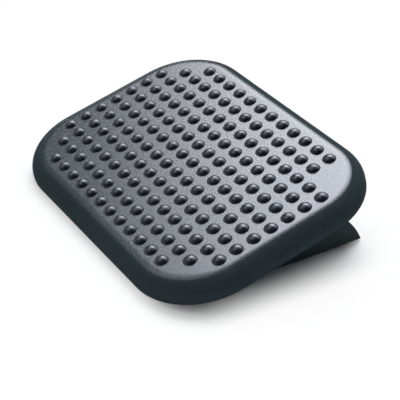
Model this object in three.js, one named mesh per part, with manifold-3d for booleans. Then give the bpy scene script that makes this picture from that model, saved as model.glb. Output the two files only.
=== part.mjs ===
import * as THREE from 'three';
import { mergeVertices } from 'three/addons/utils/BufferGeometryUtils.js';
import Module from 'manifold-3d';

const wasm = await Module();
wasm.setup();

// Lengths are in millimetres and angles in degrees. X runs along the width, Y to the rear, Z up.

// Deck: a lattice of massage domes on a flat, round-cornered plate with a rolled rim.
const DOME_PITCH = 25;
const DOME_RADIUS = 9.3;
const DOME_HEIGHT = 5.3;
const DOME_ROOT = 1;
const DOME_SHOULDER_RADIUS_SHARE = 0.74;
const DOME_SHOULDER_HEIGHT_SHARE = 0.66;
const DOME_MARGIN = 0.5;
const FLAT_WIDTH = 396.4;
const FLAT_DEPTH = 276.4;
const FLAT_CORNER_RADIUS = 70.7;
const RIM_REACH = 23.5;
const RIM_DROP = 22;
const SKIRT_HEIGHT = 5.5;
const WALL = 3;

// Underside of the deck: a grid of ribs, relieved where the base drum swings past.
const RIB_THICKNESS = 2;
const RIB_DROP = 12;
const RIB_SPACING = 50;
const RIB_SAMPLES = 12;
const SWING_SAMPLES = 8;
const SWING_CLEARANCE = 1;

// Tilt: the deck hangs on the base by two pins and rests front edge down.
const REST_TILT = 15.5;
const REST_LIFT = 2.5;
const PIVOT_FROM_FRONT = 199.2;

// Base: a hollow half-moon drum, flat side down and open underneath.
const DRUM_RADIUS = 116;
const DRUM_WIDTH = 360;
const DRUM_EDGE = 2;
const FLOOR_GAP = 2.5;
const DRUM_RIB_THICKNESS = 2.5;
const DRUM_RIB_DEPTH = 7;
const DRUM_RIB_FROM_HINGE = 63;
const DRUM_RIB_FROM_MIDDLE = 48;

// Hinges: a bracket under the deck reaches through a window in the drum to a pin in two cheeks.
const HINGE_FROM_END = 65;
const WINDOW_WIDTH = 78;
const WINDOW_DEPTH = 42;
const WINDOW_ABOVE_PIN = 7.5;
const CHEEK_THICKNESS = 3.5;
const EAR_THICKNESS = 8;
const EYE_RADIUS = 9;
const EAR_SPREAD = 13;
const FLANGE_WIDTH = 66;
const FLANGE_DEPTH = 28;
const FLANGE_CORNER = 5;
const FLANGE_THICKNESS = 3;
const GUSSET_WIDTH = 12;
const GUSSET_THICKNESS = 3;
const PIN_RADIUS = 4;
const PIN_HEAD_RADIUS = 6.5;
const PIN_HEAD_HEIGHT = 2.5;
const PIN_TAIL = 2.2;
const PIN_CHAMFER = 0.7;
const SLEEVE_WALL = 1.6;
const WASHER_RADIUS = 8.5;
const WASHER_THICKNESS = 1.5;
const CLIP_RADIUS = 7;
const CLIP_THICKNESS = 1.2;
const GAP = 0.3;

// Screws and the bosses that take them.
const BOSS_RADIUS = 4.8;
const BOSS_DROP = 8.5;
const SCREW_FROM_EAR = 24;
const SCREW_RADIUS = 1.9;
const SCREW_HEAD_RADIUS = 3.8;
const SCREW_HEAD_HEIGHT = 2.4;
const SCREW_LENGTH = 8;
const SCREW_SLOT_WIDTH = 1;
const SCREW_SLOT_DEPTH = 1;
const SCREW_POINT = 0.6;

// Rubber pieces: tilt stops on the drum, feet under it, bumpers under the deck's front edge.
const STOP_RADIUS = 9;
const STOP_SEAT = 0.9;
const STOP_EDGE = 0.8;
const STOP_STANDOFF = 7.5;
const STOP_FROM_HINGE = 53;
const FOOT_RADIUS = 10;
const FOOT_THICKNESS = 4;
const FOOT_EDGE = 1;
const FOOT_STEM_RADIUS = 3;
const FOOT_STEM_LENGTH = 10;
const FOOT_POST_RADIUS = 6;
const FOOT_FROM_END = 15;
const FOOT_FROM_RIM = 20;
const FOOT_BORE_SPARE = 1;
const BUMPER_RADIUS = 9;
const BUMPER_COLLAR = 2.5;
const BUMPER_STEM_RADIUS = 3;
const BUMPER_STEM_LENGTH = 9;
const BUMPER_POST_RADIUS = 7;
const BUMPER_FROM_SIDE = 78.2;
const BUMPER_FROM_FRONT = 18;

// Fineness of the facets.
const CORNER_STEPS = 5;
const RIM_STEPS = 5;
const INNER_RIM_STEPS = 3;
const DOME_SIDES = 9;
const DRUM_STEPS = 20;
const ROUND_SIDES = 12;
const SMALL_SIDES = 8;
const BALL_STEPS = 3;
const FILLET_STEPS = 3;

// Sizes that follow from the ones above.
const TILT = THREE.MathUtils.degToRad(REST_TILT);
const RIM_HEIGHT = RIM_DROP + SKIRT_HEIGHT;
const FRONT_EDGE = -(FLAT_DEPTH / 2 + RIM_REACH);
const PIVOT_Y = FRONT_EDGE + PIVOT_FROM_FRONT;
const PIVOT_Z = REST_LIFT + PIVOT_FROM_FRONT * Math.sin(TILT);
const UNDERSIDE = RIM_HEIGHT - WALL;
const AXIS_DROP = (DRUM_RADIUS + STOP_STANDOFF - UNDERSIDE) / Math.cos(TILT);
const DRUM_SINK = AXIS_DROP - PIVOT_Z;
const DRUM_HALF_DEPTH = Math.sqrt(DRUM_RADIUS ** 2 - DRUM_SINK ** 2);
const HINGE_FROM_MIDDLE = DRUM_WIDTH / 2 - HINGE_FROM_END;
const STOP_FROM_MIDDLE = HINGE_FROM_MIDDLE - STOP_FROM_HINGE;
const DRUM_RIB_SPACING = HINGE_FROM_MIDDLE - DRUM_RIB_FROM_HINGE;
const FOOT_FROM_MIDDLE = DRUM_WIDTH / 2 - FOOT_FROM_END;
const FOOT_FROM_AXIS = DRUM_HALF_DEPTH - FOOT_FROM_RIM;
const BUMPER_FROM_MIDDLE = FLAT_WIDTH / 2 - BUMPER_FROM_SIDE;
const DOME_ROOM = DOME_RADIUS + DOME_MARGIN;
const DOME_COLUMNS = 1 + Math.floor((FLAT_WIDTH - 2 * DOME_ROOM) / DOME_PITCH);
const DOME_ROWS = 1 + Math.floor((FLAT_DEPTH - 2 * DOME_ROOM) / DOME_PITCH);
const RIB_COLUMNS = 1 + 2 * Math.floor((FLAT_WIDTH + RIM_REACH) / 2 / RIB_SPACING);
const RIB_ROWS_AHEAD = Math.floor((PIVOT_Y - FRONT_EDGE - RIM_REACH) / RIB_SPACING);
const RIB_ROWS = 1 + RIB_ROWS_AHEAD + Math.floor((FLAT_DEPTH / 2 - PIVOT_Y) / RIB_SPACING);
const EAR_HALF = EAR_THICKNESS / 2;
const CHEEK_INSIDE = EAR_HALF + WASHER_THICKNESS + 2 * GAP;
const CHEEK_OUTSIDE = CHEEK_INSIDE + CHEEK_THICKNESS;
const SLEEVE_INSIDE = PIN_RADIUS + GAP;
const SLEEVE_OUTSIDE = SLEEVE_INSIDE + SLEEVE_WALL;
const FLANGE_TOP = UNDERSIDE - BOSS_DROP - GAP;
const FLANGE_BOTTOM = FLANGE_TOP - FLANGE_THICKNESS;
const SIDES = [['left', -1], ['right', 1]];
const ENDS = [['front', -1], ['rear', 1]];

// Turns a geometry into a solid; coincident corners are joined and empty facets dropped.
function solid(geometry) {
  geometry.deleteAttribute('normal');
  geometry.deleteAttribute('uv');
  const welded = mergeVertices(geometry);
  const kept = [];
  const index = welded.index.array;
  for (let i = 0; i < index.length; i += 3) {
    const [a, b, c] = [index[i], index[i + 1], index[i + 2]];
    if (a !== b && b !== c && c !== a) kept.push(a, b, c);
  }
  return new wasm.Manifold(new wasm.Mesh({
    numProp: 3,
    vertProperties: new Float32Array(welded.attributes.position.array),
    triVerts: new Uint32Array(kept),
  }));
}

function joined(solids) {
  return solids.reduce((whole, next) => whole.add(next));
}

function geometryOf(body) {
  const mesh = body.getMesh();
  const geometry = new THREE.BufferGeometry();
  geometry.setAttribute('position', new THREE.BufferAttribute(mesh.vertProperties, mesh.numProp));
  geometry.setIndex(new THREE.BufferAttribute(mesh.triVerts, 1));
  return geometry;
}

// The radius at whose flats a many-sided bore still clears a round of the given radius.
function boreRadius(radius, sides) {
  return radius / Math.cos(Math.PI / sides);
}

function roundedPlate(width, depth, radius) {
  const shape = new THREE.Shape();
  const x = width / 2 - radius;
  const y = depth / 2 - radius;
  shape.absarc(x, y, radius, 0, Math.PI / 2);
  shape.absarc(-x, y, radius, Math.PI / 2, Math.PI);
  shape.absarc(-x, -y, radius, Math.PI, Math.PI * 1.5);
  shape.absarc(x, -y, radius, Math.PI * 1.5, Math.PI * 2);
  return shape;
}

function box(width, depth, height, x, y, z) {
  return solid(new THREE.BoxGeometry(width, depth, height).translate(x, y, z));
}

// A turned body standing along Z; its profile lists radius and height.
function turned(profile, sides) {
  const points = profile.map(([radius, height]) => new THREE.Vector2(radius, height));
  return solid(new THREE.LatheGeometry(points, sides).rotateX(Math.PI / 2));
}

function rod(radius, bottom, top, sides) {
  return turned([[0, bottom], [radius, bottom], [radius, top], [0, top]], sides);
}

function ring(inside, outside, bottom, top, sides) {
  const bore = boreRadius(inside, sides);
  const corners = [[bore, bottom], [outside, bottom], [outside, top], [bore, top], [bore, bottom]];
  return turned(corners, sides);
}

// Stretches a profile drawn in Y and Z along X, centred on the middle.
function acrossWidth(points, width) {
  const shape = new THREE.Shape(points.map(([y, z]) => new THREE.Vector2(y, z)));
  const geometry = new THREE.ExtrudeGeometry(shape, { depth: width, bevelEnabled: false });
  geometry.translate(0, 0, -width / 2);
  const turn = new THREE.Matrix4().makeBasis(
    new THREE.Vector3(0, 1, 0), new THREE.Vector3(0, 0, 1), new THREE.Vector3(1, 0, 0));
  return solid(geometry.applyMatrix4(turn));
}

// Lays a body that stands along Z down along X, its top towards the given side.
function alongX(body, side) {
  return body.rotate([0, side * 90, 0]);
}

// Moves a body from the deck's own frame, pin axis at the origin, to where it rests.
function ontoDeck(body) {
  return body.rotate([REST_TILT, 0, 0]).translate([0, 0, PIVOT_Z]);
}

// A shell outline of the deck: flat top, elliptical rolled edge and straight skirt.
function rolledSlab(inset, steps) {
  const shape = roundedPlate(
    FLAT_WIDTH - 2 * inset, FLAT_DEPTH - 2 * inset, FLAT_CORNER_RADIUS - inset);
  const geometry = new THREE.ExtrudeGeometry(shape, {
    depth: RIM_HEIGHT,
    curveSegments: CORNER_STEPS,
    bevelThickness: RIM_DROP,
    bevelSize: RIM_REACH,
    bevelSegments: steps,
  });
  return solid(geometry.translate(0, 0, -(RIM_HEIGHT + RIM_DROP) - inset));
}

// A dome is left out where it lacks room inside the flat's rounded outline, and beside one corner.
function isBare(column, row, x, y) {
  const overX = Math.abs(x) - (FLAT_WIDTH / 2 - FLAT_CORNER_RADIUS);
  const overY = Math.abs(y) - (FLAT_DEPTH / 2 - FLAT_CORNER_RADIUS);
  const inCorner = overX > 0 && overY > 0;
  const cramped = inCorner && Math.hypot(overX, overY) + DOME_ROOM > FLAT_CORNER_RADIUS;
  return cramped || (column === DOME_COLUMNS - 2 && row === DOME_ROWS - 2);
}

// The massage domes: the corners of the lattice and one place near a corner stay bare.
function domes() {
  const shoulder = DOME_RADIUS * DOME_SHOULDER_RADIUS_SHARE;
  const rise = DOME_HEIGHT * DOME_SHOULDER_HEIGHT_SHARE;
  const root = DOME_RADIUS + (DOME_RADIUS - shoulder) * DOME_ROOT / rise;
  const profile = [[0, -DOME_ROOT], [root, -DOME_ROOT], [shoulder, rise], [0, DOME_HEIGHT]];
  const dome = turned(profile, DOME_SIDES);
  const all = [];
  for (let column = 0; column < DOME_COLUMNS; column += 1) {
    for (let row = 0; row < DOME_ROWS; row += 1) {
      const x = (column - (DOME_COLUMNS - 1) / 2) * DOME_PITCH;
      const y = (row - (DOME_ROWS - 1) / 2) * DOME_PITCH;
      if (!isBare(column, row, x, y)) all.push(dome.translate([x, y, 0]));
    }
  }
  return wasm.Manifold.union(all);
}

// How high above the pin axis the drum comes, at a distance along the deck, in the whole swing.
function drumReach(along) {
  let highest = -DRUM_RADIUS;
  for (let i = 0; i <= SWING_SAMPLES; i += 1) {
    const angle = TILT * (2 * i / SWING_SAMPLES - 1);
    const offset = along - AXIS_DROP * Math.sin(angle);
    const rise = DRUM_RADIUS ** 2 - offset ** 2;
    if (rise > 0) highest = Math.max(highest, Math.sqrt(rise) - AXIS_DROP * Math.cos(angle));
  }
  return highest;
}

// The lower edge of the ribs: level with the screw bosses over the hinges, clear of the drum.
function ribBottom(y) {
  const along = y - PIVOT_Y;
  const free = UNDERSIDE - drumReach(along) - SWING_CLEARANCE;
  const most = Math.abs(along) < FLANGE_DEPTH ? BOSS_DROP : RIB_DROP;
  return -WALL - Math.min(most, free);
}

// A rib from front to rear; its lower edge is hollowed along the drum's path.
function lengthRib(x) {
  const half = FLAT_DEPTH / 2 + RIM_REACH;
  const clears = Math.abs(x) > DRUM_WIDTH / 2 + SWING_CLEARANCE;
  const edge = [[half, 0], [-half, 0]];
  for (let i = 0; i <= RIB_SAMPLES; i += 1) {
    const y = half * (2 * i / RIB_SAMPLES - 1);
    edge.push([y, clears ? -WALL - RIB_DROP : ribBottom(y)]);
  }
  return acrossWidth(edge, RIB_THICKNESS).translate([x, 0, 0]);
}

function crossRib(y) {
  const bottom = Math.max(ribBottom(y - RIB_THICKNESS), ribBottom(y + RIB_THICKNESS));
  const width = FLAT_WIDTH + 2 * RIM_REACH;
  return box(width, RIB_THICKNESS, -bottom, 0, y, bottom / 2);
}

function deckRibs() {
  const ribs = [];
  for (let i = 0; i < RIB_COLUMNS; i += 1) {
    ribs.push(lengthRib((i - (RIB_COLUMNS - 1) / 2) * RIB_SPACING));
  }
  for (let i = 0; i < RIB_ROWS; i += 1) {
    ribs.push(crossRib(PIVOT_Y + (i - RIB_ROWS_AHEAD) * RIB_SPACING));
  }
  return joined(ribs);
}

function screwPlaces() {
  const places = [];
  for (const [side, sign] of SIDES) {
    for (const [end, way] of [['inner', -1], ['outer', 1]]) {
      places.push([`${side}_${end}`, sign * (HINGE_FROM_MIDDLE + way * SCREW_FROM_EAR)]);
    }
  }
  return places;
}

// The height of the bumper's ball centre above the skirt's lower plane.
function bumperCentre() {
  const rise = REST_LIFT + BUMPER_FROM_FRONT * Math.sin(TILT);
  return (BUMPER_RADIUS + GAP - rise) / Math.cos(TILT);
}

function deckPosts() {
  const posts = screwPlaces().map(([, x]) => (
    rod(BOSS_RADIUS, -WALL - BOSS_DROP, 0, SMALL_SIDES).translate([x, PIVOT_Y, 0])));
  const low = bumperCentre() + BUMPER_COLLAR + GAP - RIM_HEIGHT;
  for (const [, sign] of SIDES) {
    const post = rod(BUMPER_POST_RADIUS, low, 0, ROUND_SIDES);
    posts.push(post.translate([sign * BUMPER_FROM_MIDDLE, FRONT_EDGE + BUMPER_FROM_FRONT, 0]));
  }
  return joined(posts);
}

function deckBores() {
  const radius = boreRadius(SCREW_RADIUS + GAP, SMALL_SIDES);
  const bores = screwPlaces().map(([, x]) => (
    rod(radius, -RIM_HEIGHT, -WALL, SMALL_SIDES).translate([x, PIVOT_Y, 0])));
  const wide = boreRadius(BUMPER_STEM_RADIUS + GAP, SMALL_SIDES);
  const top = bumperCentre() + BUMPER_COLLAR + BUMPER_STEM_LENGTH + GAP - RIM_HEIGHT;
  for (const [, sign] of SIDES) {
    const bore = rod(wide, -RIM_HEIGHT, top, SMALL_SIDES);
    bores.push(bore.translate([sign * BUMPER_FROM_MIDDLE, FRONT_EDGE + BUMPER_FROM_FRONT, 0]));
  }
  return joined(bores);
}

// Rounds cut from the ribs where the deck comes to rest on the tilt stops.
function stopPockets() {
  const radius = boreRadius(STOP_RADIUS + SWING_CLEARANCE, ROUND_SIDES);
  const pocket = rod(radius, -RIM_HEIGHT, -WALL, ROUND_SIDES);
  const pockets = [];
  for (const [, sign] of SIDES) {
    for (const [, way] of ENDS) {
      const y = PIVOT_Y + way * AXIS_DROP * Math.sin(TILT);
      pockets.push(pocket.translate([sign * STOP_FROM_MIDDLE, y, 0]));
    }
  }
  return joined(pockets);
}

// The deck in one moulding: rolled shell, domes above, ribs and bosses below.
function platform() {
  const width = FLAT_WIDTH + 4 * RIM_REACH;
  const below = box(width, width, 2 * RIM_HEIGHT, 0, 0, -2 * RIM_HEIGHT);
  const outer = rolledSlab(0, RIM_STEPS).subtract(below);
  const hollow = rolledSlab(WALL, INNER_RIM_STEPS);
  const ribs = deckRibs().subtract(stopPockets());
  const inside = joined([ribs, deckPosts()]).intersect(rolledSlab(WALL / 2, RIM_STEPS));
  const shell = outer.subtract(hollow).add(inside).subtract(deckBores()).add(domes());
  return ontoDeck(shell.translate([0, -PIVOT_Y, RIM_HEIGHT]));
}

// The half-moon outline above the given height, its arc set inwards by the wall.
function halfMoon(inset, bottom) {
  const radius = DRUM_RADIUS - inset;
  const start = Math.asin((bottom + DRUM_SINK) / radius);
  const points = [];
  for (let i = 0; i <= DRUM_STEPS; i += 1) {
    const angle = start + (Math.PI - 2 * start) * i / DRUM_STEPS;
    points.push([radius * Math.cos(angle), radius * Math.sin(angle) - DRUM_SINK]);
  }
  return points;
}

// The drum's outside, with its edges eased all round.
function drumBody() {
  const points = halfMoon(DRUM_EDGE, 0);
  const shape = new THREE.Shape(points.map(([y, z]) => new THREE.Vector2(y, z)));
  const geometry = new THREE.ExtrudeGeometry(shape, {
    depth: DRUM_WIDTH - 2 * DRUM_EDGE,
    bevelThickness: DRUM_EDGE,
    bevelSize: DRUM_EDGE,
    bevelSegments: 1,
  });
  geometry.translate(0, 0, DRUM_EDGE - DRUM_WIDTH / 2);
  const turn = new THREE.Matrix4().makeBasis(
    new THREE.Vector3(0, 1, 0), new THREE.Vector3(0, 0, 1), new THREE.Vector3(1, 0, 0));
  const long = 2 * DRUM_RADIUS;
  const below = box(DRUM_WIDTH + long, long, long, 0, 0, FLOOR_GAP - long / 2);
  return solid(geometry.applyMatrix4(turn)).subtract(below);
}

// Stiffening ribs under the drum's roof: rings across it and two straight ribs along it.
function drumRibs() {
  const outline = halfMoon(WALL / 2, FLOOR_GAP + DRUM_EDGE);
  const ribs = [];
  for (const step of [-1, 0, 1]) {
    ribs.push(acrossWidth(outline, DRUM_RIB_THICKNESS).translate([step * DRUM_RIB_SPACING, 0, 0]));
  }
  for (const sign of [-1, 1]) {
    const y = sign * DRUM_RIB_FROM_MIDDLE;
    ribs.push(box(DRUM_WIDTH, DRUM_RIB_THICKNESS, DRUM_RADIUS, 0, y, DRUM_RADIUS / 2));
  }
  const below = halfMoon(WALL + DRUM_RIB_DEPTH, -DRUM_RIB_DEPTH);
  return joined(ribs).subtract(acrossWidth(below, DRUM_WIDTH + WALL));
}

// The cheeks on either side of each bracket's ear: plates hung from the roof, which hold the pin.
function hingeCheeks() {
  const outline = halfMoon(WALL / 2, PIVOT_Z - EYE_RADIUS);
  const cheeks = [];
  for (const [, sign] of SIDES) {
    for (const way of [-1, 1]) {
      const x = sign * HINGE_FROM_MIDDLE + way * (CHEEK_INSIDE + CHEEK_THICKNESS / 2);
      cheeks.push(acrossWidth(outline, CHEEK_THICKNESS).translate([x, 0, 0]));
    }
  }
  return joined(cheeks);
}

function footPlaces() {
  const places = [];
  for (const [side, sign] of SIDES) {
    for (const [end, way] of ENDS) {
      places.push([`${side}_${end}`, sign * FOOT_FROM_MIDDLE, way * FOOT_FROM_AXIS]);
    }
  }
  return places;
}

function footPosts() {
  const low = FOOT_THICKNESS + GAP;
  const post = rod(FOOT_POST_RADIUS, low, DRUM_RADIUS - DRUM_SINK, ROUND_SIDES);
  return joined(footPlaces().map(([, x, y]) => post.translate([x, y, 0])));
}

function footBores() {
  const wide = boreRadius(FOOT_STEM_RADIUS + GAP, SMALL_SIDES);
  const top = FOOT_THICKNESS + FOOT_STEM_LENGTH + FOOT_BORE_SPARE;
  const bore = rod(wide, 0, top, SMALL_SIDES);
  return joined(footPlaces().map(([, x, y]) => bore.translate([x, y, 0])));
}

// Turns a body standing on the drum's crown to the place of the front or rear tilt stop.
function atStop(body, x, way) {
  return body.rotate([-way * REST_TILT, 0, 0]).translate([x, 0, -DRUM_SINK]);
}

// Cuts through the drum: hinge windows, pin bores and the flat seats of the tilt stops.
function drumCuts() {
  const cuts = [];
  const low = PIVOT_Z + WINDOW_ABOVE_PIN;
  const high = DRUM_RADIUS;
  const pin = boreRadius(PIN_RADIUS + GAP, ROUND_SIDES);
  const reach = CHEEK_OUTSIDE + CHEEK_THICKNESS;
  const bore = alongX(rod(pin, -reach, reach, ROUND_SIDES), 1);
  const seatRadius = boreRadius(STOP_RADIUS + GAP, ROUND_SIDES);
  const seat = rod(seatRadius, DRUM_RADIUS - STOP_SEAT, DRUM_RADIUS + STOP_STANDOFF, ROUND_SIDES);
  for (const [, sign] of SIDES) {
    const x = sign * HINGE_FROM_MIDDLE;
    cuts.push(box(WINDOW_WIDTH, WINDOW_DEPTH, high - low, x, 0, (high + low) / 2));
    cuts.push(bore.translate([x, 0, PIVOT_Z]));
    for (const [, way] of ENDS) cuts.push(atStop(seat, sign * STOP_FROM_MIDDLE, way));
  }
  return joined(cuts);
}

// The standing base in one moulding.
function base() {
  const outer = drumBody();
  const cavity = acrossWidth(halfMoon(WALL, 0), DRUM_WIDTH - 2 * WALL);
  const core = acrossWidth(halfMoon(WALL / 2, 0), DRUM_WIDTH - WALL);
  const inside = joined([drumRibs(), hingeCheeks(), footPosts()]).intersect(core);
  return outer.subtract(cavity).add(inside).subtract(footBores()).subtract(drumCuts());
}

// Bracket ear: a tapered tongue from the flange down to a round eye on the pin axis.
function ear() {
  const shape = new THREE.Shape();
  const lean = Math.atan2(EAR_SPREAD - EYE_RADIUS, FLANGE_BOTTOM);
  shape.absarc(0, 0, EYE_RADIUS, Math.PI - lean, 2 * Math.PI + lean);
  shape.lineTo(EAR_SPREAD, FLANGE_BOTTOM + FLANGE_THICKNESS / 2);
  shape.lineTo(-EAR_SPREAD, FLANGE_BOTTOM + FLANGE_THICKNESS / 2);
  const points = shape.getPoints(ROUND_SIDES / 2).map((point) => [point.x, point.y]);
  return acrossWidth(points, EAR_THICKNESS);
}

// A hinge bracket: screw flange, ear with eye, and a gusset on either side of the ear.
function hingeBracket(x) {
  const plate = new THREE.ExtrudeGeometry(
    roundedPlate(FLANGE_WIDTH, FLANGE_DEPTH, FLANGE_CORNER),
    { depth: FLANGE_THICKNESS, curveSegments: FILLET_STEPS, bevelEnabled: false });
  const flange = solid(plate.translate(0, 0, FLANGE_BOTTOM));
  const gussetSide = EAR_HALF + GUSSET_WIDTH;
  const low = WASHER_RADIUS + SWING_CLEARANCE;
  const gusset = new THREE.Shape([
    new THREE.Vector2(-gussetSide, FLANGE_TOP - FLANGE_THICKNESS / 2),
    new THREE.Vector2(-gussetSide, FLANGE_BOTTOM),
    new THREE.Vector2(-EAR_HALF, low),
    new THREE.Vector2(EAR_HALF, low),
    new THREE.Vector2(gussetSide, FLANGE_BOTTOM),
    new THREE.Vector2(gussetSide, FLANGE_TOP - FLANGE_THICKNESS / 2),
  ]);
  const web = new THREE.ExtrudeGeometry(gusset, { depth: GUSSET_THICKNESS, bevelEnabled: false });
  web.translate(0, 0, -GUSSET_THICKNESS / 2).rotateX(Math.PI / 2);
  const eye = boreRadius(SLEEVE_OUTSIDE + GAP, ROUND_SIDES);
  let body = joined([flange, ear(), solid(web)]);
  body = body.subtract(alongX(rod(eye, -EAR_THICKNESS, EAR_THICKNESS, ROUND_SIDES), 1));
  const hole = boreRadius(SCREW_RADIUS + GAP, SMALL_SIDES);
  for (const way of [-1, 1]) {
    const drill = rod(hole, 0, UNDERSIDE, SMALL_SIDES);
    body = body.subtract(drill.translate([way * SCREW_FROM_EAR, 0, 0]));
  }
  return ontoDeck(body.translate([x, 0, 0]));
}

// A slotted pan-head screw, driven up through the flange into its boss.
function bracketScrew(x) {
  const seat = FLANGE_BOTTOM - GAP;
  const low = seat - SCREW_HEAD_HEIGHT;
  const tip = seat + SCREW_LENGTH;
  const body = turned([
    [0, low],
    [SCREW_HEAD_RADIUS - SCREW_POINT, low],
    [SCREW_HEAD_RADIUS, low + SCREW_POINT],
    [SCREW_HEAD_RADIUS, seat],
    [SCREW_RADIUS, seat],
    [SCREW_RADIUS, tip - SCREW_POINT],
    [SCREW_RADIUS - SCREW_POINT, tip],
    [0, tip],
  ], SMALL_SIDES);
  const long = 3 * SCREW_HEAD_RADIUS;
  const slot = box(long, SCREW_SLOT_WIDTH, 2 * SCREW_SLOT_DEPTH, 0, 0, low);
  return ontoDeck(body.subtract(slot).translate([x, 0, 0]));
}

// The headed pin through both cheeks and the bracket's eye, head towards the middle.
function hingePin(x, side) {
  const head = -CHEEK_OUTSIDE - GAP;
  const tail = CHEEK_OUTSIDE + GAP + CLIP_THICKNESS + PIN_TAIL;
  const body = turned([
    [0, head - PIN_HEAD_HEIGHT],
    [PIN_HEAD_RADIUS - PIN_CHAMFER, head - PIN_HEAD_HEIGHT],
    [PIN_HEAD_RADIUS, head - PIN_HEAD_HEIGHT + PIN_CHAMFER],
    [PIN_HEAD_RADIUS, head],
    [PIN_RADIUS, head],
    [PIN_RADIUS, tail - PIN_CHAMFER],
    [PIN_RADIUS - PIN_CHAMFER, tail],
    [0, tail],
  ], ROUND_SIDES);
  return alongX(body, side).translate([x, 0, PIVOT_Z]);
}

function pinClip(x, side) {
  const from = CHEEK_OUTSIDE + GAP;
  const body = ring(PIN_RADIUS + GAP, CLIP_RADIUS, from, from + CLIP_THICKNESS, ROUND_SIDES);
  return alongX(body, side).translate([x, 0, PIVOT_Z]);
}

// The sleeve in the bracket's eye, as long as the ear is thick.
function hingeSleeve(x) {
  const body = ring(SLEEVE_INSIDE, SLEEVE_OUTSIDE, -EAR_HALF, EAR_HALF, ROUND_SIDES);
  return ontoDeck(alongX(body, 1).translate([x, 0, 0]));
}

function frictionWasher(x, way) {
  const from = EAR_HALF + GAP;
  const body = ring(SLEEVE_INSIDE, WASHER_RADIUS, from, from + WASHER_THICKNESS, ROUND_SIDES);
  return alongX(body, way).translate([x, 0, PIVOT_Z]);
}

// A rubber stop glued in its seat; the deck's underside comes to rest on it.
function tiltStop(x, way) {
  const bottom = DRUM_RADIUS - STOP_SEAT + GAP;
  const top = DRUM_RADIUS + STOP_STANDOFF - GAP;
  const body = turned([
    [0, bottom],
    [STOP_RADIUS, bottom],
    [STOP_RADIUS, top - STOP_EDGE],
    [STOP_RADIUS - STOP_EDGE, top],
    [0, top],
  ], ROUND_SIDES);
  return atStop(body, x, way);
}

function baseFoot(x, y) {
  const body = turned([
    [0, 0],
    [FOOT_RADIUS - FOOT_EDGE, 0],
    [FOOT_RADIUS, FOOT_EDGE],
    [FOOT_RADIUS, FOOT_THICKNESS],
    [FOOT_STEM_RADIUS, FOOT_THICKNESS],
    [FOOT_STEM_RADIUS, FOOT_THICKNESS + FOOT_STEM_LENGTH],
    [0, FOOT_THICKNESS + FOOT_STEM_LENGTH],
  ], ROUND_SIDES);
  return body.translate([x, y, 0]);
}

// A round-nosed rubber bumper pressed into its post under the deck's front edge.
function frontBumper(x) {
  const profile = [];
  for (let i = 0; i <= BALL_STEPS; i += 1) {
    const angle = Math.PI / 2 * i / BALL_STEPS;
    profile.push([BUMPER_RADIUS * Math.sin(angle), -BUMPER_RADIUS * Math.cos(angle)]);
  }
  profile.push([BUMPER_RADIUS, BUMPER_COLLAR]);
  profile.push([BUMPER_STEM_RADIUS, BUMPER_COLLAR]);
  profile.push([BUMPER_STEM_RADIUS, BUMPER_COLLAR + BUMPER_STEM_LENGTH]);
  profile.push([0, BUMPER_COLLAR + BUMPER_STEM_LENGTH]);
  const body = turned(profile, ROUND_SIDES);
  const y = FRONT_EDGE + BUMPER_FROM_FRONT - PIVOT_Y;
  return ontoDeck(body.translate([x, y, bumperCentre()]));
}

const PAINTS = {
  deck: [0x3f474d, 0.5, 0],
  drum: [0x30373c, 0.6, 0],
  nylon: [0x1f2225, 0.5, 0],
  acetal: [0xd9d4c6, 0.4, 0],
  rubber: [0x191b1c, 0.9, 0],
  steel: [0xa7abae, 0.35, 1],
};

function piece(name, body, paint) {
  const [color, roughness, metalness] = PAINTS[paint];
  const material = new THREE.MeshStandardMaterial({ color, roughness, metalness });
  const mesh = new THREE.Mesh(geometryOf(body), material);
  mesh.name = name;
  return mesh;
}

function assemble() {
  const group = new THREE.Group();
  group.name = 'tilting_footrest';
  group.add(piece('platform', platform(), 'deck'));
  group.add(piece('base', base(), 'drum'));
  for (const [side, sign] of SIDES) {
    const x = sign * HINGE_FROM_MIDDLE;
    group.add(piece(`hinge_bracket_${side}`, hingeBracket(x), 'nylon'));
    group.add(piece(`hinge_sleeve_${side}`, hingeSleeve(x), 'steel'));
    group.add(piece(`hinge_pin_${side}`, hingePin(x, sign), 'steel'));
    group.add(piece(`pin_clip_${side}`, pinClip(x, sign), 'steel'));
    for (const [place, way] of [['inner', -sign], ['outer', sign]]) {
      group.add(piece(`friction_washer_${side}_${place}`, frictionWasher(x, way), 'acetal'));
    }
    for (const [end, way] of ENDS) {
      const stop = tiltStop(sign * STOP_FROM_MIDDLE, way);
      group.add(piece(`tilt_stop_${side}_${end}`, stop, 'rubber'));
    }
    const bumper = frontBumper(sign * BUMPER_FROM_MIDDLE);
    group.add(piece(`front_bumper_${side}`, bumper, 'rubber'));
  }
  for (const [place, x] of screwPlaces()) {
    group.add(piece(`bracket_screw_${place}`, bracketScrew(x), 'steel'));
  }
  for (const [place, x, y] of footPlaces()) {
    group.add(piece(`base_foot_${place}`, baseFoot(x, y), 'rubber'));
  }
  return group;
}

// Sets the footrest down with the middle of its outline over the origin.
function settled(group) {
  const bounds = new THREE.Box3().setFromObject(group);
  const middle = bounds.getCenter(new THREE.Vector3());
  for (const mesh of group.children) {
    mesh.geometry.translate(-middle.x, -middle.y, -bounds.min.z);
  }
  return group;
}

export default settled(assemble());
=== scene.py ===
import math

import bmesh
import bpy
import numpy as np
from mathutils import Matrix, Vector


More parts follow.
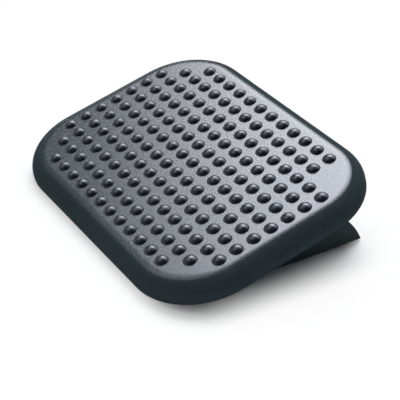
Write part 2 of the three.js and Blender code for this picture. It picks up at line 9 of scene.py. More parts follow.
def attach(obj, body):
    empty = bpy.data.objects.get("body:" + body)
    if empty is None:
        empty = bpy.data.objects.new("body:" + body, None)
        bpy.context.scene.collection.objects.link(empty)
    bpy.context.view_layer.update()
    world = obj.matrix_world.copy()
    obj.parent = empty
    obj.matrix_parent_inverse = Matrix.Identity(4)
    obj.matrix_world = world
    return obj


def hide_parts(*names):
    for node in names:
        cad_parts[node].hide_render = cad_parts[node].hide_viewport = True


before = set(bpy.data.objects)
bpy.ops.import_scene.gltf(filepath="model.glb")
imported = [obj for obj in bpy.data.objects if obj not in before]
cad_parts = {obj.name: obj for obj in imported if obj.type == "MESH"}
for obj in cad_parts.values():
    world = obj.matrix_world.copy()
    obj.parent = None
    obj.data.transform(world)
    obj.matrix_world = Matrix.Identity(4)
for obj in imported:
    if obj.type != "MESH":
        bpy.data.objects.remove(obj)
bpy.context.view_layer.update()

# Lengths are in millimetres, as in the part's source, and become metres in the meshes.
MM = 0.001
TILT = math.radians(15.5)
PIVOT = np.array([0.0, 37.2253, 55.7339])
PIVOT_FROM_FRONT = 199.2
GAP = 0.3
SIDES = (("left", -1), ("right", 1))
ENDS = (("front", -1), ("rear", 1))

# Deck: flat top, rolled rim, short skirt with a rounded lip, and the lattice of domes.
FLAT_HALF_X = 198.2
FLAT_HALF_Y = 138.2
FLAT_CORNER = 70.7
FLAT_MARGIN = 2.0
RIM_REACH = 23.5
RIM_DROP = 22.0
SKIRT = 5.5
LIP = 1.0
WALL = 3.0
ROLL_STEPS = 15
LIP_STEPS = 9
INSIDE_STEPS = 13
CORNER_STEPS = 26
DOME_PITCH = 25.0
DOME_COLUMNS = 16
DOME_ROWS = 11
DOME_RADIUS = 9.3
DOME_HEIGHT = 5.3
DOME_SINK = 0.1
DOME_ROOT = 0.4
DOME_LEAN_SHARES = np.array([1.0, 0.7, 0.36, 0.0])
DOME_SIDES = 16
DOMES_OFF_CORNER = 2
BARE_PLACE = (14, 9)

# Under the deck: a grid of ribs, counted from its middle and from the pin axis, and posts.
RIBS_ALONG = np.arange(-4, 5)
RIBS_ACROSS = np.arange(-3, 3)
RIB_SPACING = 50.0
RIB_THICKNESS = 2.0
RIB_DROP = 12.0
RIB_LEAST = 0.2
RIB_SHORT = 0.4
RIB_LOOK = 2.0
LONG_RIB_STEPS = 97
CROSS_RIB_STEPS = 49
SWING_GAP = 1.0
SWING_STEPS = 17
BOSS_DROP = 8.5
BOSS_ROOM = 28.0
BOSS_RADIUS = 4.8
BOSS_BORE = 2.2
BOSS_ROOT = 0.8
POST_EDGE = 0.4
BUMPER_POST_RADIUS = 7.0
BUMPER_POST_BORE = 3.3
BUMPER_POST_LIFT = 2.8
BUMPER_POST_DEPTH = 9.0

# Base: a half-moon drum, hollow and open underneath, with a window over each hinge.
DRUM_RADIUS = 116.0
DRUM_SINK = 46.99
DRUM_HALF = 180.0
DRUM_EDGE = 2.0
DRUM_EDGE_LEAST = 0.5
DRUM_COLUMN_X = 30.0
DRUM_SIDE_STEPS = 30
DRUM_EDGE_STEPS = 6
END_FACE_RISE = 0.9
FLOOR_GAP = 2.5
WINDOW_HALF_X = 39.0
WINDOW_HALF_Y = 21.0
WINDOW_BOTTOM = PIVOT[2] + 7.5
WINDOW_STEPS = 13
WINDOW_MARGIN = 0.01

# Inside the drum: ring ribs, long ribs, cheeks beside each hinge, and foot posts.
DRUM_RIB_DEPTH = 7.0
DRUM_RIB_HALF = 1.25
DRUM_RIB_FOOT = 4.5
RING_RIBS_X = (-52.0, 0.0, 52.0)
RING_RIB_STEPS = 40
LONG_RIBS_Y = (-48.0, 48.0)
LONG_RIB_HALF = 177.5
LONG_RIB_SINK = 1.3
CHEEK_FROM_EAR = 3.85
CHEEK_HALF = 1.75
CHEEK_DROP = 9.0
CHEEK_STEPS = 60
FOOT_X = 165.0
FOOT_Y = 86.05
FOOT_POST_OUTLINE = [(0.0, 15.0), (3.3, 15.0), (3.3, 4.3), (6.0, 4.3), (6.0, 40.0), (0.0, 40.0)]
FOOT_POST_SIDES = 32

# Hinge brackets and their screws, counted from the middle of the width.
HINGE_X = 115.0
EAR_HALF = 4.0
EAR_FLARE = 4.0
EAR_SINK = 1.5
EYE_RADIUS = 9.0
EYE_STEPS = 33
FLANGE_HALF_X = 33.0
FLANGE_HALF_Y = 14.0
FLANGE_CORNER = 5.0
FLANGE_CORNER_STEPS = 8
FLANGE_THICKNESS = 3.0
FLANGE_EDGE = 0.4
GUSSET_REACH = 16.0
GUSSET_LOW = 9.5
GUSSET_HALF = 1.5
SCREW_FROM_EAR = 24.0
SCREW_HEAD = 2.4
SCREW_SIDES = 48
SLOT_HALF = 0.55
SLOT_BAND = 0.5
SLOT_DEPTH = 1.0

# Turned pieces. Outlines are (radius, height); rings are inside, outside, bottom, top and edge.
TURNED_SIDES = 40
FOOT_OUTLINE = [(0, 0), (10, 0), (10, 4), (3, 4), (3, 14), (0, 14)]
FOOT_EDGE = 1.0
STOP_X = 62.0
STOP_RADIUS = 9.0
STOP_SINK = 0.6
STOP_STANDOFF = 7.5
STOP_EDGE = 0.9
BUMPER_X = 120.0
BUMPER_FROM_FRONT = 18.0
BUMPER_RADIUS = 9.0
BUMPER_STEPS = 12
BUMPER_STEM = [(9.0, 2.1), (8.6, 2.5), (3.0, 2.5), (3.0, 11.2), (2.7, 11.5), (0.0, 11.5)]
PIN_OUTLINE = [(0, -12.4), (6.5, -12.4), (6.5, -9.9), (4, -9.9), (4, 13.3), (0, 13.3)]
PIN_EDGE = 0.6
SLEEVE_RING = (4.3, 5.9, -4.0, 4.0, 0.3)
WASHER_RING = (4.3, 8.5, 4.3, 5.8, 0.35)
CLIP_RING = (4.3, 7.0, 9.9, 11.1, 0.35)
SCREW_OUTLINE = [(0.0, 0.0), (0.6, 0.0), (1.2, 0.0), (1.8, 0.0), (2.4, 0.0), (3.0, 0.0), (3.5, 0.15),
                 (3.8, 0.7), (3.8, SCREW_HEAD), (1.9, SCREW_HEAD), (1.9, 9.8), (1.3, 10.4), (0.0, 10.4)]

# Meshes.
MERGE_DISTANCE = 1e-7
SHARP_ANGLE = math.radians(35.0)
BRACKET_EDGE = 0.3
BEVEL_SEGMENTS = 2
BEVEL_ANGLE = math.radians(50)
CORNER_SHARE = 0.45
CORNER_SHARES = (0.0, 0.3, 0.7, 1.0)

RIM_HEIGHT = RIM_DROP + SKIRT
FRONT_EDGE = -(FLAT_HALF_Y + RIM_REACH)
PIVOT_Y = FRONT_EDGE + PIVOT_FROM_FRONT
FLANGE_TOP = RIM_HEIGHT - WALL - BOSS_DROP - GAP
FLANGE_BOTTOM = FLANGE_TOP - FLANGE_THICKNESS
BUMPER_CENTRE = (BUMPER_RADIUS + GAP - FLOOR_GAP - BUMPER_FROM_FRONT * math.sin(TILT)) / math.cos(TILT)


def turn_by_tilt(points, angle=TILT):
    """Points turned about the X axis by an angle."""
    c, s = math.cos(angle), math.sin(angle)
    return np.column_stack([points[:, 0], c * points[:, 1] - s * points[:, 2],
                            s * points[:, 1] + c * points[:, 2]])


def deck_to_part(points):
    """Deck frame, Z from the flat top, to part frame: the pin axis goes to the origin, then the
    points are turned and set on the pivot."""
    return turn_by_tilt(np.asarray(points, float) - (0.0, PIVOT_Y, -RIM_HEIGHT)) + PIVOT


def pin_to_part(points):
    """Pin frame, tilted with the deck, to part frame."""
    return turn_by_tilt(np.asarray(points, float)) + PIVOT


def drum_to_part(points):
    """Drum frame, Y from the middle of the arc, to part frame."""
    return np.asarray(points, float) + (0.0, PIVOT[1], 0.0)


def grid_faces(rings, around, closed=True):
    """Quads between neighbouring rings of a grid whose points run ring after ring."""
    last = around if closed else around - 1
    i, j = np.meshgrid(np.arange(rings - 1), np.arange(last), indexing="ij")
    k = (j + 1) % around
    quads = np.stack([i * around + j, i * around + k, (i + 1) * around + k, (i + 1) * around + j], -1)
    return quads.reshape(-1, 4)


class Shape:
    """Points and faces gathered from several surfaces, made into one mesh at the end."""

    def __init__(self):
        self.points = []
        self.faces = []
        self.count = 0

    def add(self, points, faces):
        """Adds a surface whose faces count from its own first point."""
        self.points.append(np.asarray(points, float))
        self.faces += [tuple(int(v) + self.count for v in face) for face in faces]
        self.count += len(points)
        return self

    def loft(self, rings):
        """Skins equal closed rings in order and caps the first and last with one flat face each."""
        rings = np.asarray(rings, float)
        n, around = rings.shape[:2]
        caps = [range(around - 1, -1, -1), range((n - 1) * around, n * around)]
        return self.add(rings.reshape(-1, 3), [*grid_faces(n, around), *caps])

    def ring_loft(self, rings):
        """Skins equal closed rings in order and joins the last back to the first."""
        n, around = rings.shape[:2]
        return self.add(rings.reshape(-1, 3), grid_faces(n + 1, around) % (n * around))

    def turned(self, profile, sides=TURNED_SIDES):
        """Spins a profile of (radius, height) about Z; one off the axis is a closed ring's section."""
        radius, height = np.asarray(profile, float).T
        a = np.arange(sides) * (2 * math.pi / sides)
        rings = np.stack([radius[:, None] * np.cos(a), radius[:, None] * np.sin(a),
                          np.repeat(height[:, None], sides, 1)], -1)
        return self.ring_loft(rings) if radius[0] else self.loft(rings)

    def moved(self, function):
        """The same shape with its points passed through a function of an array."""
        out = Shape()
        out.points = [function(np.concatenate(self.points))]
        out.faces = self.faces
        out.count = self.count
        return out

    def at(self, x, y):
        """The same shape at another place."""
        return self.moved(lambda p: p + (x, y, 0.0))

    def joined(self, *others):
        """Takes in the surfaces of other shapes."""
        for other in others:
            self.add(np.concatenate(other.points), other.faces)
        return self


def piece(name, shape, body, material, replaces=(), eased=0.0):
    """Makes the mesh with merged corners and outward faces, and hands it to the frame."""
    mesh = bpy.data.meshes.new(name)
    mesh.from_pydata((np.concatenate(shape.points) * MM).tolist(), [], shape.faces)
    bm = bmesh.new()
    bm.from_mesh(mesh)
    bmesh.ops.remove_doubles(bm, verts=bm.verts, dist=MERGE_DISTANCE)
    bmesh.ops.recalc_face_normals(bm, faces=bm.faces)
    bm.to_mesh(mesh)
    bm.free()
    mesh.shade_smooth()
    mesh.set_sharp_from_angle(angle=SHARP_ANGLE)
    obj = bpy.data.objects.new(name, mesh)
    bpy.context.scene.collection.objects.link(obj)
    mesh.materials.append(material)
    if eased:
        bevel = obj.modifiers.new("eased_edges", "BEVEL")
        bevel.width = eased * MM
        bevel.segments = BEVEL_SEGMENTS
        bevel.limit_method = "ANGLE"
        bevel.angle_limit = BEVEL_ANGLE
        bevel.harden_normals = True
    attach(obj, body)
    if replaces:
        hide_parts(*replaces)


def rounded_loop(half_x, half_y, radius, z, corner_steps=CORNER_STEPS):
    """A round-cornered rectangle at one height: four quarter circles joined by straight runs."""
    a = np.linspace(0, math.pi / 2, corner_steps)
    quarters = []
    for k, (sx, sy) in enumerate(((1, 1), (-1, 1), (-1, -1), (1, -1))):
        angle = a + k * math.pi / 2
        quarters.append(np.column_stack([sx * (half_x - radius) + radius * np.cos(angle),
                                         sy * (half_y - radius) + radius * np.sin(angle),
                                         np.full(corner_steps, z)]))
    return np.concatenate(quarters)


def offset_loop(reach, z):
    """The deck's flat outline pushed outwards by a reach, its corners staying concentric."""
    return rounded_loop(FLAT_HALF_X + reach, FLAT_HALF_Y + reach, FLAT_CORNER + reach, z)


def block(x0, x1, y0, y1, z0, z1):
    """A closed box from its limits."""
    ring = np.array([[x0, y0], [x1, y0], [x1, y1], [x0, y1]], float)
    return Shape().loft([np.column_stack([ring, np.full(4, z)]) for z in (z0, z1)])


def slab_across(outline, x0, x1):
    """An outline drawn in Y and Z, stretched along X between two places."""
    outline = np.asarray(outline, float)
    return Shape().loft([np.column_stack([np.full(len(outline), x), outline]) for x in (x0, x1)])


def crosswise(points):
    """Swaps X and Y."""
    return points[:, [1, 0, 2]]


def eased_profile(profile, edge):
    """Rounds the inner corners of a profile: each gives way to a short parabola of the edge's size."""
    p = np.asarray(profile, float)
    out = [p[0]]
    for before, corner, after in zip(p[:-2], p[1:-1], p[2:]):
        a, b = before - corner, after - corner
        size = min(edge, CORNER_SHARE * np.hypot(*a), CORNER_SHARE * np.hypot(*b))
        a, b = a / np.hypot(*a) * size, b / np.hypot(*b) * size
        out += [corner + a * (1 - t) ** 2 + b * t ** 2 for t in CORNER_SHARES]
    return np.array(out + [p[-1]])


def ring_profile(inside, outside, bottom, top, edge):
    """A ring's section with its four corners eased."""
    p = [(inside, bottom), (outside, bottom), (outside, top), (inside, top)]
    return eased_profile([p[3], *p, p[0]], edge)[1:-1]


# The deck.

def deck_shell():
    """Rolled tray: flat top, quarter-ellipse rim, short skirt, rounded lip, and the same line inside."""
    rings = [offset_loop(-FLAT_MARGIN, 0.0)]
    for t in np.linspace(0, math.pi / 2, ROLL_STEPS):
        rings.append(offset_loop(RIM_REACH * math.sin(t), -RIM_DROP * (1 - math.cos(t))))
    for t in np.linspace(0.0, math.pi, LIP_STEPS):
        rings.append(offset_loop(RIM_REACH - WALL / 2 + WALL / 2 * math.cos(t),
                                 LIP - RIM_HEIGHT - LIP * math.sin(t)))
    for t in np.linspace(math.pi / 2, 0, INSIDE_STEPS):
        rings.append(offset_loop(RIM_REACH * math.sin(t) - WALL, -WALL - RIM_DROP * (1 - math.cos(t))))
    rings.append(offset_loop(-WALL - FLAT_MARGIN, -WALL))
    return Shape().loft(rings)


def dome_places():
    """Lattice places of the domes, less three at each corner and one beside the rear right corner."""
    column, row = np.meshgrid(np.arange(DOME_COLUMNS), np.arange(DOME_ROWS), indexing="ij")
    near = np.minimum(column, DOME_COLUMNS - 1 - column) + np.minimum(row, DOME_ROWS - 1 - row)
    keep = (near >= DOMES_OFF_CORNER) & ~((column == BARE_PLACE[0]) & (row == BARE_PLACE[1]))
    return np.column_stack([(column[keep] - (DOME_COLUMNS - 1) / 2) * DOME_PITCH,
                            (row[keep] - (DOME_ROWS - 1) / 2) * DOME_PITCH, np.zeros(keep.sum())])


def domes():
    """One spherical cap, a circle's arc turned about its middle, copied over the lattice in one array."""
    sphere = (DOME_RADIUS ** 2 + DOME_HEIGHT ** 2) / (2 * DOME_HEIGHT)
    lean = math.asin(DOME_RADIUS / sphere) * DOME_LEAN_SHARES
    radius = np.concatenate([[0.0], sphere * np.sin(lean)])
    height = np.concatenate([[-DOME_ROOT], sphere * np.cos(lean) - sphere + DOME_HEIGHT])
    height[1] = -DOME_SINK
    one = Shape().turned(np.column_stack([radius, height])[::-1], DOME_SIDES)
    cap = one.points[0]
    faces = np.array([face for face in one.faces if len(face) == 4])
    places = dome_places()
    shift = (np.arange(len(places)) * len(cap))[:, None, None]
    return Shape().add((cap[None] + places[:, None]).reshape(-1, 3), (faces[None] + shift).reshape(-1, 4))


def drum_reach(along):
    """Highest the drum comes above the pin axis at a distance along the deck, over the whole swing."""
    angle = np.linspace(-TILT, TILT, SWING_STEPS)[:, None]
    drop = PIVOT[2] + DRUM_SINK
    rise = DRUM_RADIUS ** 2 - (along - drop * np.sin(angle)) ** 2
    return np.where(rise > 0, np.sqrt(np.maximum(rise, 0)) - drop * np.cos(angle), -DRUM_RADIUS).max(0)


def rib_bottom(y):
    """Lower edge of the ribs: level with the bosses over the hinges, hollowed along the drum's path."""
    along = np.asarray(y, float) - PIVOT_Y
    most = np.where(np.abs(along) < BOSS_ROOM, BOSS_DROP, RIB_DROP)
    return -WALL - np.minimum(most, RIM_HEIGHT - WALL - drum_reach(along) - SWING_GAP)


def roof_inside(offset):
    """Height of the roof's mid-wall line where the flat outline is pushed outwards by an offset."""
    t = np.arcsin(np.clip((offset + WALL / 2) / RIM_REACH, 0, 1))
    return -WALL / 2 - RIM_DROP * (1 - np.cos(t))


def rib_line(across, half_across, half_along, steps):
    """Places along a rib, closer towards its ends, and how far each lies outside the flat outline."""
    over = max(abs(across) - (half_across - FLAT_CORNER), 0.0)
    straight = half_along - FLAT_CORNER
    outer = FLAT_CORNER + RIM_REACH - WALL - RIB_SHORT
    half = straight + math.sqrt(outer ** 2 - over ** 2)
    along = half * np.sin(np.linspace(-math.pi / 2, math.pi / 2, steps))
    past = np.maximum(np.abs(along) - straight, 0.0)
    return along, np.hypot(past, over) - FLAT_CORNER


def rib_plate(along, low, top, across):
    """A thin plate standing on a line; its lower edge never comes above its upper one."""
    outline = np.concatenate([np.column_stack([along, np.minimum(low, top - RIB_LEAST)]),
                              np.column_stack([along, top])[::-1]])
    return slab_across(outline, across - RIB_THICKNESS / 2, across + RIB_THICKNESS / 2)


def deck_ribs():
    """Crossing plates under the deck, each an outline between the roof and the ribs' lower edge."""
    shape = Shape()
    for x in RIBS_ALONG * RIB_SPACING:
        y, outside = rib_line(x, FLAT_HALF_X, FLAT_HALF_Y, LONG_RIB_STEPS)
        over_drum = abs(x) < DRUM_HALF + SWING_GAP
        low = rib_bottom(y) if over_drum else np.full(len(y), -WALL - RIB_DROP)
        shape.joined(rib_plate(y, low, roof_inside(outside), x))
    for y in PIVOT_Y + RIBS_ACROSS * RIB_SPACING:
        x, outside = rib_line(y, FLAT_HALF_Y, FLAT_HALF_X, CROSS_RIB_STEPS)
        low = np.full(len(x), float(np.max(rib_bottom([y - RIB_LOOK, y + RIB_LOOK]))))
        shape.joined(rib_plate(x, low, roof_inside(outside), y).moved(crosswise))
    return shape


def bored_post(outer, inner, bottom, top, floor):
    """A post with a blind bore up from its lower end, the edges at that end eased."""
    edge = POST_EDGE
    return Shape().turned([(0.0, floor), (inner, floor), (inner, bottom + edge), (inner + edge, bottom),
                           (outer - edge, bottom), (outer, bottom + edge), (outer, top), (0.0, top)])


def deck_posts():
    """Screw bosses over the hinges and the two long posts that hold the front bumpers."""
    shape = Shape()
    for _, sign in SIDES:
        for way in (-1, 1):
            boss = bored_post(BOSS_RADIUS, BOSS_BORE, -WALL - BOSS_DROP, BOSS_ROOT - WALL, -WALL)
            shape.joined(boss.at(sign * HINGE_X + way * SCREW_FROM_EAR, PIVOT_Y))
        low = BUMPER_CENTRE + BUMPER_POST_LIFT - RIM_HEIGHT
        post = bored_post(BUMPER_POST_RADIUS, BUMPER_POST_BORE, low, -WALL, low + BUMPER_POST_DEPTH)
        shape.joined(post.at(sign * BUMPER_X, FRONT_EDGE + BUMPER_FROM_FRONT))
    return shape


# The base.

def drum_angles(radius):
    """Angles along the arc at a radius, foot to foot, with the window's two edges among them."""
    foot = math.asin((DRUM_SINK + FLOOR_GAP) / radius)
    edge = math.acos(WINDOW_HALF_Y / radius)
    side = np.linspace(foot, edge, DRUM_SIDE_STEPS)
    roof = np.linspace(edge, math.pi - edge, WINDOW_STEPS)
    return np.concatenate([side, roof[1:-1], math.pi - side[::-1]])


def drum_section(inset):
    """The line across the drum that is carried along the arc: up an end face, over its eased edge and
    across. Gives X, radius and share of the full height, mirrored about the middle."""
    half, radius = DRUM_HALF - inset, DRUM_RADIUS - inset
    edge = max(DRUM_EDGE - inset / 2, DRUM_EDGE_LEAST)
    steps = DRUM_EDGE_STEPS
    t = np.linspace(0, math.pi / 2, steps)
    roof = [HINGE_X + WINDOW_HALF_X, HINGE_X, HINGE_X - WINDOW_HALF_X, DRUM_COLUMN_X, 0.0]
    x = np.concatenate([np.full(steps, half), half - edge * (1 - np.cos(t)), roof])
    r = np.concatenate([np.full(steps, radius - edge), radius - edge * (1 - np.sin(t)),
                        np.full(len(roof), radius)])
    rise = np.concatenate([np.linspace(0, END_FACE_RISE, steps), np.ones(steps + len(roof))])
    return [np.concatenate([v, sign * v[-2::-1]]) for v, sign in ((x, -1), (r, 1), (rise, 1))]


def drum_skin(inset):
    """One skin as a grid of arc by section: Y is the radius by the cosine, Z the radius by the sine
    less the sink, and on the end faces a share of that height above the foot."""
    x, r, rise = drum_section(inset)
    angle = np.stack([drum_angles(radius) for radius in r], 1)
    y, z = r * np.cos(angle), r * np.sin(angle) - DRUM_SINK
    z = FLOOR_GAP + (z - FLOOR_GAP) * rise
    return np.stack([np.broadcast_to(x, y.shape), y, z], -1)


def drum_shell():
    """Outer and inner skin, the foot's rim between them, and the walls of the two windows."""
    outer, inner = drum_skin(0.0), drum_skin(WALL)
    rings, across = outer.shape[:2]
    grid = np.arange(rings * across).reshape(rings, across)
    on_roof = drum_section(0.0)[2] == 1.0
    inside = (np.abs(outer[..., 1]) < WINDOW_HALF_Y + WINDOW_MARGIN) & on_roof
    inside &= np.abs(np.abs(outer[..., 0]) - HINGE_X) < WINDOW_HALF_X + WINDOW_MARGIN
    faces = grid_faces(rings, across, closed=False)
    open_face = inside.reshape(-1)[faces].all(1)
    skins = [faces[~open_face], faces[~open_face][:, ::-1] + grid.size]
    rim = np.concatenate([grid[0], grid[1:, -1], grid[-1, -2::-1], grid[-2:0:-1, 0]])
    foot = np.column_stack([rim, np.roll(rim, -1), np.roll(rim, -1) + grid.size, rim + grid.size])
    edges = np.concatenate([faces[open_face][:, [i, (i + 1) % 4]] for i in range(4)])
    _, first, times = np.unique(np.sort(edges, 1), axis=0, return_index=True, return_counts=True)
    start, end = edges[first[times == 1]].T
    windows = np.column_stack([end, start, start + grid.size, end + grid.size])
    return Shape().add(np.concatenate([outer.reshape(-1, 3), inner.reshape(-1, 3)]),
                       np.concatenate([*skins, foot, windows]))


def arc_points(radius, low, steps):
    """Points of the arc at a radius, from front to rear above a height."""
    start = math.asin((low + DRUM_SINK) / radius)
    a = np.linspace(math.pi - start, start, steps)
    return np.column_stack([radius * np.cos(a), radius * np.sin(a) - DRUM_SINK])


def arc_height(radius, y):
    """Height of the arc at a radius, at a distance from its middle."""
    return np.sqrt(radius ** 2 - y ** 2) - DRUM_SINK


def drum_ribs(outer):
    """Three ring ribs that follow the roof and two long ribs along it."""
    shape = Shape()
    inner = DRUM_RADIUS - WALL - DRUM_RIB_DEPTH
    high, low = (arc_points(radius, DRUM_RIB_FOOT, RING_RIB_STEPS) for radius in (outer, inner))
    for x in RING_RIBS_X:
        corners = ((-1, high), (1, high), (1, low), (-1, low))
        shape.loft(np.stack([np.column_stack([np.full(RING_RIB_STEPS, x + side * DRUM_RIB_HALF), line])
                             for side, line in corners], 1))
    for y in LONG_RIBS_Y:
        shape.joined(block(-LONG_RIB_HALF, LONG_RIB_HALF, y - DRUM_RIB_HALF, y + DRUM_RIB_HALF,
                           arc_height(inner, y), arc_height(outer, abs(y) + LONG_RIB_SINK)))
    return shape


def cheek_outline(outer):
    """A cheek under the roof, notched where the bracket's ear comes through the window."""
    arc = arc_points(outer, PIVOT[2] - CHEEK_DROP, CHEEK_STEPS)
    front, rear = arc[arc[:, 0] < -WINDOW_HALF_Y], arc[arc[:, 0] > WINDOW_HALF_Y]
    notch = [(-WINDOW_HALF_Y, front[-1, 1]), (-WINDOW_HALF_Y, WINDOW_BOTTOM),
             (WINDOW_HALF_Y, WINDOW_BOTTOM), (WINDOW_HALF_Y, rear[0, 1])]
    return np.concatenate([front, notch, rear])


def under_roof(points):
    """Lowers what stands above the drum's mid-wall arc to that arc."""
    roof = arc_height(DRUM_RADIUS - WALL / 2, points[:, 1])
    return np.column_stack([points[:, :2], np.minimum(points[:, 2], roof)])


def drum_inside():
    """What stands inside the drum: ribs, the cheeks that hold the pins, and the foot posts."""
    outer = DRUM_RADIUS - WALL / 2
    shape = drum_ribs(outer)
    cheek = cheek_outline(outer)
    for _, sign in SIDES:
        for way in (-1, 1):
            x = sign * HINGE_X + way * (EAR_HALF + CHEEK_FROM_EAR)
            shape.joined(slab_across(cheek, x - CHEEK_HALF, x + CHEEK_HALF))
        for _, end in ENDS:
            post = Shape().turned(FOOT_POST_OUTLINE, FOOT_POST_SIDES).at(sign * FOOT_X, end * FOOT_Y)
            shape.joined(post.moved(under_roof))
    return shape


# The hinge brackets and their screws.

def bracket(x):
    """A flange with eased edges, a tapered ear round the pin, and a gusset across the ear."""
    levels = ((FLANGE_EDGE, FLANGE_BOTTOM), (0.0, FLANGE_BOTTOM + FLANGE_EDGE),
              (0.0, FLANGE_TOP - FLANGE_EDGE), (FLANGE_EDGE, FLANGE_TOP))
    flange = [rounded_loop(FLANGE_HALF_X - inset, FLANGE_HALF_Y - inset, FLANGE_CORNER - inset, z,
                           FLANGE_CORNER_STEPS) for inset, z in levels]
    lean = math.atan2(EAR_FLARE, FLANGE_BOTTOM)
    a = np.linspace(math.pi - lean, 2 * math.pi + lean, EYE_STEPS)
    eye = EYE_RADIUS * np.column_stack([np.cos(a), np.sin(a)])
    wide, high = EYE_RADIUS + EAR_FLARE, FLANGE_BOTTOM + EAR_SINK
    ear = slab_across(np.concatenate([eye, [(wide, high), (-wide, high)]]), -EAR_HALF, EAR_HALF)
    gusset = [(-GUSSET_REACH, high), (-GUSSET_REACH, FLANGE_BOTTOM), (-EAR_HALF, GUSSET_LOW),
              (EAR_HALF, GUSSET_LOW), (GUSSET_REACH, FLANGE_BOTTOM), (GUSSET_REACH, high)]
    web = slab_across(gusset, -GUSSET_HALF, GUSSET_HALF).moved(crosswise)
    return Shape().loft(flange).joined(ear, web).at(x, 0.0).moved(pin_to_part)


def screw():
    """A pan-head screw standing on its slotted head: the profile turned, the slot pressed into the head."""
    low = FLANGE_BOTTOM - GAP - SCREW_HEAD

    def slotted(p):
        deep = (np.abs(p[:, 1]) < SLOT_HALF) & (p[:, 2] < low + SLOT_BAND)
        return np.column_stack([p[:, :2], p[:, 2] + SLOT_DEPTH * deep])
    return Shape().turned(np.array(SCREW_OUTLINE) + (0.0, low), SCREW_SIDES).moved(slotted)


# Turned pieces.

def lying(side, x):
    """Lays a piece that stands along Z on the pin axis at X, its top towards the given side."""
    return lambda p: np.column_stack([side * p[:, 2], p[:, 1], -side * p[:, 0]]) + PIVOT + (x, 0.0, 0.0)


def at_stop(x, way):
    """Turns a piece standing on the drum's crown to the front or rear tilt stop."""
    return lambda p: turn_by_tilt(p, -way * TILT) + (x, PIVOT[1], -DRUM_SINK)


def under_deck(x, y, z):
    """Sets a piece drawn about the skirt's lower plane at a place under the deck."""
    return lambda p: deck_to_part(p + (x, y, z - RIM_HEIGHT))


def on_floor(x, y):
    """Stands a piece on the floor."""
    return lambda p: p + (x, y, 0.0)


def turned_pieces():
    """Every turned piece: its CAD node, body, slot, shape and place."""
    foot = eased_profile(FOOT_OUTLINE, FOOT_EDGE)
    seat, top = DRUM_RADIUS - STOP_SINK, DRUM_RADIUS + STOP_STANDOFF - GAP
    stop = eased_profile([(0, seat), (STOP_RADIUS, seat), (STOP_RADIUS, top), (0, top)], STOP_EDGE)
    t = np.linspace(0, math.pi / 2, BUMPER_STEPS)
    ball = BUMPER_RADIUS * np.column_stack([np.sin(t), -np.cos(t)])
    bumper = np.concatenate([ball, BUMPER_STEM])
    pin = eased_profile(PIN_OUTLINE, PIN_EDGE)
    sleeve, washer, clip = (ring_profile(*ring) for ring in (SLEEVE_RING, WASHER_RING, CLIP_RING))
    rows = []
    for side, sign in SIDES:
        x = sign * HINGE_X
        rows += [(f"hinge_pin_{side}", "stand", "steel", pin, lying(sign, x)),
                 (f"pin_clip_{side}", "stand", "steel", clip, lying(sign, x)),
                 (f"hinge_sleeve_{side}", "deck", "steel", sleeve, lying(1, x)),
                 (f"front_bumper_{side}", "deck", "rubber", bumper,
                  under_deck(sign * BUMPER_X, FRONT_EDGE + BUMPER_FROM_FRONT, BUMPER_CENTRE))]
        for place, way in (("inner", -sign), ("outer", sign)):
            rows.append((f"friction_washer_{side}_{place}", "stand", "washer_acetal", washer, lying(way, x)))
        for end, way in ENDS:
            rows += [(f"tilt_stop_{side}_{end}", "stand", "rubber", stop, at_stop(sign * STOP_X, way)),
                     (f"base_foot_{side}_{end}", "stand", "rubber", foot,
                      on_floor(sign * FOOT_X, PIVOT[1] + way * FOOT_Y))]
    return rows


# Materials.

class Socket:
    """A shader output; arithmetic on it adds Math nodes."""

    def __init__(self, paint, out):
        self.paint = paint
        self.out = out

    def _math(self, operation, first, second):
        return self.paint.node("ShaderNodeMath", {"operation": operation}, {0: first, 1: second})

    def __add__(self, other):
        return self._math("ADD", self, other)

    def __radd__(self, other):
        return self._math("ADD", other, self)

    def __sub__(self, other):
        return self._math("SUBTRACT", self, other)

    def __mul__(self, other):
        return self._math("MULTIPLY", self, other)

    def __rmul__(self, other):
        return self._math("MULTIPLY", other, self)


